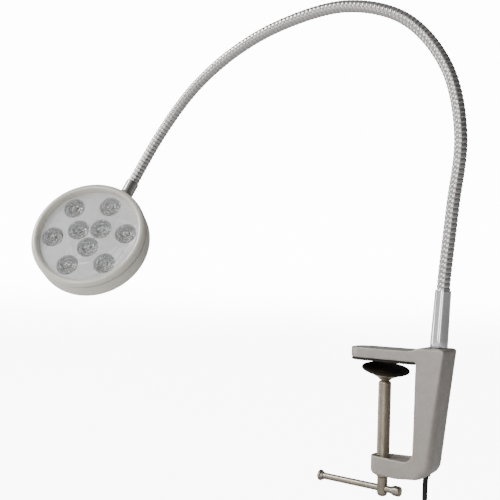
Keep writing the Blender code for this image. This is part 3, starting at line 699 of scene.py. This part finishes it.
def build_cord():
    route = cord_route()
    data = bpy.data.curves.new("mains_cord", "CURVE")
    data.dimensions = "3D"
    data.bevel_depth = CORD_RADIUS
    data.bevel_resolution = 6
    data.use_fill_caps = True
    spline = data.splines.new("POLY")
    spline.points.add(len(route) - 1)
    for target, point in zip(spline.points, route):
        target.co = (*point, 1.0)
    spline.use_smooth = True
    data.materials.append(rubber("cord_jacket", (0.012, 0.012, 0.013), 1400, 0.3))
    obj = link("mains_cord", data)
    settle(obj, "base", ["cord", "cord_coil", "cord_tail"])


# ------------------------------------------------------------ gooseneck


def neck_curve():
    route = [POST @ Vector((0, 0, BASE_FERRULE_LENGTH - SOCKET_DEPTH)),
             POST @ Vector((0, 0, BASE_FERRULE_LENGTH))]
    route += [Vector(p) * MM for p in NECK_ROUTE]
    route += [HEAD_FERRULE @ Vector((0, 0, HEAD_FERRULE_LENGTH)),
              HEAD_FERRULE @ Vector((0, 0, HEAD_FERRULE_LENGTH - SOCKET_DEPTH))]
    return smooth_curve(route)


def neck_grid(curve, total):
    """The neck's wound surface as rings of points, and its normals."""
    count = int(total / NECK_PITCH * RIB_STEPS)
    places = np.linspace(0, total, count + 1)
    centres, tangents = resample(curve, places, 3 * MM)
    side = np.cross(np.cross(tangents, [0, 1, 0]), tangents)
    side /= np.linalg.norm(side, axis=1)[:, None]
    up = np.cross(tangents, side)
    turns = np.linspace(0, 2 * math.pi, NECK_SIDES, endpoint=False)
    phase = (places[:, None] / NECK_PITCH - turns[None, :] / (2 * math.pi)) % 1.0
    crown = np.clip(1 - np.abs(2 * phase - 1) ** 4, 0, 1) ** 0.5
    radius = NECK_RADIUS - GROOVE_DEPTH * (1 - crown)
    cos, sin = np.cos(turns)[None, :, None], np.sin(turns)[None, :, None]
    outward = radius[..., None] * (side[:, None] * cos + up[:, None] * sin)
    points = centres[:, None] + outward
    along = np.gradient(points, axis=0)
    around = np.roll(points, -1, axis=1) - np.roll(points, 1, axis=1)
    normals = np.cross(around, along)
    normals /= np.linalg.norm(normals, axis=2)[..., None]
    if (normals * outward).sum() < 0:
        normals = -normals
    return points, normals


def build_neck():
    """Eight stretches of the wound neck, which stand for its CAD nodes."""
    curve = neck_curve()
    total = curve_length(curve)
    points, normals = neck_grid(curve, total)
    made = neck_chrome()
    pitch = total / NECK_JOINTS
    reach = 0.42 * pitch
    rings, sides = points.shape[:2]
    borders = [round(k * (rings - 1) / NECK_JOINTS) for k in range(NECK_JOINTS + 1)]
    for k in range(NECK_JOINTS):
        first, last = borders[k], borders[k + 1]
        joint = (k + 0.5) * pitch
        part = points[first:last + 1].reshape(-1, 3)
        faces = []
        for i in range(last - first):
            for j in range(sides):
                n = (j + 1) % sides
                faces.append((i * sides + j, i * sides + n,
                              (i + 1) * sides + n, (i + 1) * sides + j))
        mesh = bpy.data.meshes.new(f"gooseneck_{k + 1}")
        mesh.from_pydata(part.tolist(), [], faces)
        mesh.validate()
        bm = bmesh.new()
        bm.from_mesh(mesh)
        bmesh.ops.recalc_face_normals(bm, faces=bm.faces)
        bm.faces.ensure_lookup_table()
        middle = bm.faces[len(bm.faces) // 2]
        centre = resample(curve, np.array([joint]))[0][0]
        if middle.normal.dot(middle.calc_center_median() - Vector(centre)) < 0:
            bmesh.ops.reverse_faces(bm, faces=bm.faces)
        bm.to_mesh(mesh)
        bm.free()
        obj = finish_object(f"gooseneck_{k + 1}", mesh, made, sharp=None)
        own_normals = normals[first:last + 1].reshape(-1, 3)
        mesh.normals_split_custom_set_from_vertices(own_normals.tolist())
        ends, _ = resample(curve, np.array([joint - reach, joint + reach]))
        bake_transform(obj)
        stands_for = [f"neck_{k + 1}"]
        if k == NECK_JOINTS - 1:
            stands_for.append(f"neck_{k + 2}")
        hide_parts(*stands_for)


# ------------------------------------------------------------ clamp


def recast(name, node, voxel, smoothing, made, cutter=None):
    """A copy of a cast or moulded CAD solid, with its edges worn round."""
    source = NODES[node].data.copy()
    source.materials.clear()
    obj = link(name, source)
    obj.matrix_world = NODES[node].matrix_world
    if cutter:
        boolean(obj, cutter)
    remesh = obj.modifiers.new("remesh", "REMESH")
    remesh.mode = "VOXEL"
    remesh.voxel_size = voxel
    ease = obj.modifiers.new("ease", "SMOOTH")
    ease.iterations = smoothing
    apply_all(obj, *([cutter] if cutter else []))
    obj.data.name = name
    obj.data.materials.clear()
    obj.data.materials.append(made)
    obj.data.shade_smooth()
    return settle(obj, "base", [node])


def jaw_pocket():
    """The hollow in the lower jaw's top, which leaves a raised rim."""
    radius, end, half_width = 7.02 * MM, 24 * MM, 9.6 * MM
    outline = [polar(radius, a)[:2] for a in np.linspace(math.pi / 2, 1.5 * math.pi, 13)]
    outline += [(end, -half_width), (end, half_width)]
    bm = bmesh.new()
    floor = bm.faces.new([bm.verts.new((x, y, LOWER_JAW_TOP - POCKET_DEPTH)) for x, y in outline])
    top = bmesh.ops.extrude_face_region(bm, geom=[floor])
    lifted = [v for v in top["geom"] if isinstance(v, bmesh.types.BMVert)]
    bmesh.ops.translate(bm, verts=lifted, vec=(0, 0, 4 * MM))
    return scratch(bm)


def build_clamp():
    recast("clamp_casting", "clamp_body", CAST_VOXEL, 7, cast_paint(), jaw_pocket())
    recast("jaw_rubber", "jaw_pad", PAD_VOXEL, 4, rubber("pad_rubber"))

    foot, top = 6.5 * MM, 5.95 * MM
    length = BASE_FERRULE_LENGTH
    socket = NECK_RADIUS + 0.15 * MM
    seat = GAP + foot * math.sin(POST_LEAN)
    lathe("post_ferrule", [
        (5.2 * MM, -28 * MM), (5.2 * MM, seat), (foot, seat), (foot, 6 * MM),
        (top, length - 1 * MM), (top - 0.25 * MM, length), (socket, length),
        (socket, length - 7 * MM), (0, length - 7 * MM)],
        chrome(), POST, "base", ["base_ferrule"], corner=0.5 * MM)
    steel = nickel("zinc_steel", (0.48, 0.48, 0.48), (1, 1, 1))
    for name in ("lock_screw", "head_nut", "plug_pin_1", "plug_pin_2"):
        paint_node(name, steel)


def paint_node(name, made):
    data = NODES[name].data
    if not data.materials:
        data.materials.append(made)
    for i in range(len(data.materials)):
        data.materials[i] = made


def threaded_rod(radius, depth, pitch, low, high, sides=40, per_pitch=8):
    """Heights, angles and radii of a right-handed thread that fades out at both ends."""
    count = int((high - low) / pitch * per_pitch)
    heights = np.linspace(low, high, count + 1)
    turns = np.linspace(0, 2 * math.pi, sides, endpoint=False)
    phase = (heights[:, None] / pitch - turns[None, :] / (2 * math.pi)) % 1.0
    tooth = 1 - np.abs(2 * phase - 1)
    fade = np.clip(np.minimum(heights - low, high - heights) / (1.2 * pitch), 0, 1)[:, None]
    radii = radius - depth * np.clip(1.15 * (1 - tooth) - 0.08, 0, 1) * (0.35 + 0.65 * fade)
    return heights, turns, radii


def build_screw():
    made = nickel()
    heights, turns, radii = threaded_rod(
        SCREW_RADIUS, THREAD_DEPTH, SCREW_PITCH, SHANK_TOP + 0.8 * MM, SCREW_TOP - 1.2 * MM)
    bm = bmesh.new()
    sides = len(turns)

    def ring(radii_round, z):
        return [bm.verts.new(polar(r, t, z)) for r, t in zip(radii_round, turns)]

    below = [
        (2.2 * MM, SCREW_END + 0.25 * MM), (3.2 * MM, SCREW_END + 0.9 * MM),
        (3.8 * MM, SCREW_END + 1.9 * MM), (SHANK_RADIUS, SCREW_END + 3.0 * MM),
        (SHANK_RADIUS, SHANK_TOP - 0.6 * MM), (4.1 * MM, SHANK_TOP)]
    above = [
        (4.8 * MM, SCREW_TOP - 0.3 * MM), (4.4 * MM, SCREW_TOP + 0.3 * MM),
        (3.6 * MM, SCREW_TOP + 0.6 * MM), (2.35 * MM, SCREW_TOP + 0.6 * MM),
        (2.3 * MM, SCREW_TOP - 0.5 * MM), (2.3 * MM, SCREW_TOP - 7.5 * MM)]
    rings = [ring([r] * sides, z) for r, z in below]
    rings += [ring(row, z) for z, row in zip(heights, radii)]
    rings += [ring([r] * sides, z) for r, z in above]
    for a, b in zip(rings, rings[1:]):
        for i in range(sides):
            j = (i + 1) % sides
            bm.faces.new((a[i], a[j], b[j], b[i]))
    tip = bm.verts.new((0, 0, SCREW_END))
    for i in range(sides):
        bm.faces.new((rings[0][(i + 1) % sides], rings[0][i], tip))
    bm.faces.new(rings[-1])
    screw = from_bmesh("threaded_screw", bm, made, sharp=50)
    hole = scratch(rod(BAR_RADIUS + GAP, -8 * MM, 8 * MM, 32), BAR_FRAME)
    boolean(screw, hole)
    apply_all(screw, hole)
    settle(screw, "screw", ["clamp_screw"])

    bar_steel = nickel("bar_steel", (0.42, 0.375, 0.305), (1, 1, 1))
    low, high = BAR_LEFT, BAR_RIGHT
    bore = BAR_RADIUS + 0.05 * MM
    lathe("turn_bar", [(0, low + 2 * MM), (BAR_RADIUS, low + 2 * MM),
                       (BAR_RADIUS, high - 2 * MM), (0, high - 2 * MM)],
          bar_steel, BAR_FRAME, "bar", ["tommy_bar"], 48)
    lathe("turn_bar_knob", [
        (0, high + 1.5 * MM), (2.6 * MM, high + 1.5 * MM), (3.6 * MM, high + 1.1 * MM),
        (3.9 * MM, high + 0.3 * MM), (3.9 * MM, high - 3.6 * MM), (3.5 * MM, high - 4.6 * MM),
        (2.85 * MM, high - 6.0 * MM), (2.75 * MM, high - 6.6 * MM), (bore, high - 6.6 * MM),
        (bore, high - 1.9 * MM), (0, high - 1.9 * MM)],
        bar_steel, BAR_FRAME, "bar", ["tommy_bar_knob"], 48, corner=0.5 * MM)
    lathe("turn_bar_cap", [
        (0, low - 1 * MM), (3.4 * MM, low - 1 * MM), (4.3 * MM, low - 0.2 * MM),
        (4.3 * MM, low + 1.4 * MM), (3.3 * MM, low + 2.2 * MM), (3.1 * MM, low + 3.6 * MM),
        (bore, low + 3.6 * MM), (bore, low + 1.9 * MM), (0, low + 1.9 * MM)],
        bar_steel, BAR_FRAME, "bar", ["tommy_bar_cap"], 48, corner=0.4 * MM)


def sphere_arc(radius, end, steps):
    """An (r, z) arc from the top of a sphere down to an angle in degrees."""
    return [(radius * math.sin(t), radius * math.cos(t))
            for t in np.linspace(0, math.radians(end), steps)]


def build_foot():
    made = nickel("foot_steel", (0.46, 0.41, 0.33), (1, 1, 1))
    end = SCREW_TOP - 7.4 * MM - BALL_Z
    ball = sphere_arc(BALL_RADIUS, 143, 24) + [(STUD_RADIUS, end), (0, end)]
    lathe("swivel_ball", ball, made, Matrix.Translation((0, 0, BALL_Z)),
          "screw_carrier", ["foot_ball"], 48)
    lathe("swivel_cup", sphere_arc(BALL_RADIUS + GAP, 124, 18) + [
        (3.6 * MM, -2.2 * MM), (4.5 * MM, -1.9 * MM), (5.0 * MM, -1.2 * MM), (5.5 * MM, -0.5 * MM),
        (8.5 * MM, 1.2 * MM), (12.5 * MM, 3.3 * MM), (16.0 * MM, 4.5 * MM), (16.4 * MM, 4.8 * MM),
        (16.2 * MM, 5.0 * MM), (0, 5.0 * MM)],
        made, FOOT, "foot", ["foot_cup"], 80, corner=0.5 * MM)
    lathe("foot_rubber", [
        (0, 5.3 * MM), (17.2 * MM, 5.3 * MM), (18.1 * MM, 5.5 * MM), (18.4 * MM, 6.0 * MM),
        (18.4 * MM, 6.7 * MM), (18.0 * MM, 7.3 * MM), (17.0 * MM, 7.3 * MM), (15.4 * MM, 6.5 * MM),
        (13.2 * MM, 6.4 * MM), (12.8 * MM, 6.1 * MM), (9.2 * MM, 6.1 * MM), (8.8 * MM, 6.4 * MM),
        (8.0 * MM, 6.4 * MM), (7.6 * MM, 6.1 * MM), (0, 6.0 * MM)],
        rubber("foot_pad_rubber", (0.012, 0.009, 0.006), specular=0.15),
        FOOT, "foot", ["foot_pad"], 96, corner=0.4 * MM)


# ------------------------------------------------------------ head


def turned_places(radius, degrees):
    return [Vector(polar(radius, math.radians(a))) for a in degrees]


def lens_places():
    places = []
    for radius, first, count in LENS_RINGS:
        places += turned_places(radius, [first + 360 / count * i for i in range(count)])
    return places


def build_shell():
    back = -HEAD_DEPTH
    wall = 2.0 * MM
    seam = -0.7 * MM
    radius = HEAD_RADIUS
    corner = 5.5 * MM
    outer = [(radius - corner + corner * math.cos(t), back + corner - corner * math.sin(t))
             for t in np.linspace(0, math.pi / 2, 12)]
    profile = [(radius - 0.7 * MM, seam), (radius, seam - 0.7 * MM), *outer, (12.0 * MM, back),
               (11.2 * MM, back + 0.5 * MM), (10.2 * MM, back + 0.5 * MM), (9.8 * MM, back),
               (7.9 * MM, back), (7.9 * MM, back + wall), (radius - corner, back + wall),
               (radius - wall, back + corner), (radius - wall, seam)]
    finish = pearl()
    shell = from_bmesh("head_shell", turned(profile, 144, closed=True), finish, HEAD)
    boss = scratch(turned([(7.6 * MM, -6 * MM), (7.6 * MM, -0.4 * MM), (7.3 * MM, 0.3 * MM),
                           (6.9 * MM, 0.7 * MM), (4.4 * MM, 0.7 * MM)], 48), HEAD_FERRULE)
    bore = scratch(rod(4.2 * MM, -14 * MM, 8 * MM, 48), HEAD_FERRULE)
    boolean(shell, boss, "UNION")
    boolean(shell, bore)
    helpers = [boss, bore]
    sink_profile = [(3.9 * MM, back - 1 * MM), (3.9 * MM, back), (3.6 * MM, back + 0.4 * MM),
                    (3.6 * MM, back + 1.6 * MM), (1.8 * MM, back + 1.6 * MM),
                    (1.8 * MM, back + 6 * MM)]
    for place in turned_places(REAR_SCREW_RADIUS, REAR_SCREW_TURNS):
        sink = scratch(turned(sink_profile, 40), HEAD @ Matrix.Translation(place))
        boolean(shell, sink)
        helpers.append(sink)
    apply_all(shell, *helpers)
    smooth(shell.data)
    settle(shell, "head", ["rear_shell"])

    lathe("head_bezel", [
        (45.3 * MM, 0.6 * MM), (51.4 * MM, 0.6 * MM), (52.3 * MM, 0.9 * MM), (52.5 * MM, 1.7 * MM),
        (52.3 * MM, 3.0 * MM), (51.6 * MM, 4.4 * MM), (50.4 * MM, 5.5 * MM), (49.0 * MM, 6.0 * MM),
        (47.6 * MM, 5.95 * MM), (46.6 * MM, 5.4 * MM), (46.1 * MM, 4.4 * MM),
        (45.5 * MM, 1.2 * MM)],
        finish, HEAD, "head", ["front_bezel"], 144, True, corner=0.5 * MM)
    lathe("head_gasket", [
        (47.4 * MM, -0.65 * MM), (51.1 * MM, -0.65 * MM), (51.1 * MM, 0.5 * MM),
        (47.4 * MM, 0.5 * MM)],
        rubber("gasket_rubber", (0.06, 0.055, 0.05)),
        HEAD, "head", ["seal_ring"], 144, True)


def build_panel():
    low = PANEL_TOP - PANEL_THICKNESS
    disc = turned([(PANEL_RADIUS, low), (PANEL_RADIUS, PANEL_TOP)], 128)
    panel = from_bmesh("head_panel", disc, panel_plastic(), HEAD)
    cutters = bmesh.new()
    hole = [(9.65 * MM, low - 1 * MM), (9.65 * MM, PANEL_TOP - 0.25 * MM),
            (9.9 * MM, PANEL_TOP), (10.2 * MM, PANEL_TOP + 0.3 * MM)]
    for place in lens_places():
        one = turned(hole, 64)
        bmesh.ops.translate(one, verts=one.verts, vec=place)
        spare = bpy.data.meshes.new("hole")
        one.to_mesh(spare)
        one.free()
        cutters.from_mesh(spare)
        bpy.data.meshes.remove(spare)
    holes = scratch(cutters, HEAD)
    boolean(panel, holes)
    apply_all(panel, holes)
    smooth(panel.data)
    settle(panel, "head", ["lens_panel"])


def lens_profile():
    """A collimator: a face with a shallow moat, a cone, and a hollow over its chip."""
    face = PANEL_TOP + 0.2 * MM
    floor = BOARD_TOP + 0.9 * MM
    front = [(0, face + 0.1 * MM), (1.6 * MM, face - 0.05 * MM), (2.9 * MM, face - 0.6 * MM),
             (3.5 * MM, face - 1.3 * MM), (4.2 * MM, face - 1.3 * MM), (4.8 * MM, face - 0.2 * MM),
             (5.2 * MM, face), (LENS_RADIUS - 0.1 * MM, face), (LENS_RADIUS, face - 0.15 * MM),
             (LENS_RADIUS, face - 1.5 * MM)]
    flank = [(LENS_RADIUS - 1.1 * MM, face - 1.6 * MM), (8.0 * MM, face - 3.1 * MM),
             (7.0 * MM, face - 4.9 * MM), (5.9 * MM, face - 7.2 * MM), (4.8 * MM, face - 9.8 * MM),
             (4.2 * MM, floor)]
    cavity = [(3.1 * MM, floor), (2.7 * MM, floor + 2.9 * MM), (1.5 * MM, floor + 3.6 * MM),
              (0, floor + 3.9 * MM)]
    return soften(front + flank, 0.25 * MM) + cavity


def build_optics():
    disc = turned([(BOARD_RADIUS, BOARD_TOP - BOARD_THICKNESS), (BOARD_RADIUS, BOARD_TOP)], 96)
    board = from_bmesh("led_carrier", disc, board_coating(), HEAD)
    settle(board, "head", ["led_board"])
    lens = lens_profile()
    acrylic, white, glow = lens_acrylic(), holder_plastic(), phosphor()
    under = PANEL_TOP - PANEL_THICKNESS - 0.1 * MM
    foot = BOARD_TOP + 0.1 * MM
    holder = [(9.7 * MM, under), (9.3 * MM, under - 2 * MM), (8.2 * MM, under - 5 * MM),
              (6.6 * MM, foot), (7.2 * MM, foot), (8.8 * MM, under - 5 * MM),
              (9.9 * MM, under - 2 * MM), (10.2 * MM, under)]
    for i, place in enumerate(lens_places()):
        at = HEAD @ Matrix.Translation(place)
        lathe(f"optic_{i + 1}", lens, acrylic, at, "head", [f"lens_{i + 1}"], 64)
        lathe(f"lens_holder_{i + 1}", holder, white, at, "head", sides=64,
              closed=True)
        bm = bmesh.new()
        bmesh.ops.create_cube(bm, size=1.0)
        bmesh.ops.scale(bm, vec=(CHIP_SIZE, CHIP_SIZE, CHIP_HEIGHT), verts=bm.verts)
        bmesh.ops.translate(bm, verts=bm.verts, vec=(0, 0, BOARD_TOP + CHIP_HEIGHT / 2))
        bmesh.ops.bevel(bm, geom=bm.edges[:], offset=0.15 * MM, segments=2, profile=0.5,
                        affect="EDGES")
        chip = from_bmesh(f"led_chip_{i + 1}", bm, glow, at)
        settle(chip, "head")


def build_head():
    build_shell()
    build_panel()
    build_optics()
    length = HEAD_FERRULE_LENGTH
    socket = NECK_RADIUS + 0.15 * MM
    base = 1.0 * MM
    lathe("head_sleeve", [
        (3.8 * MM, -9.5 * MM), (3.8 * MM, base), (6.5 * MM, base), (6.5 * MM, 2.2 * MM),
        (6.0 * MM, 4.5 * MM), (6.0 * MM, length - 0.8 * MM), (5.7 * MM, length),
        (socket, length), (socket, length - 7 * MM), (0, length - 7 * MM)],
        chrome("nickel_bright", (0.66, 0.64, 0.60), 0.1, 0.2),
        HEAD_FERRULE, "head", ["head_ferrule"], corner=0.4 * MM)


def paint_small_parts():
    """New materials for the CAD nodes whose shapes stay."""
    black = plastic()
    for name in ("switch_housing", "switch_button", "driver_board", "cord_tie", "plug_body"):
        paint_node(name, black)
    paint_node("cable_grommet", rubber("grommet_rubber"))
    paint_node("plug_relief", rubber("relief_rubber"))
    steel = nickel("screw_steel", (0.42, 0.42, 0.42), (1, 1, 1))
    for k in (1, 2, 3):
        paint_node(f"rear_screw_{k}", steel)


camera()
build_cord()
stage()
lights()
build_neck()
build_clamp()
build_screw()
build_foot()
build_head()
paint_small_parts()
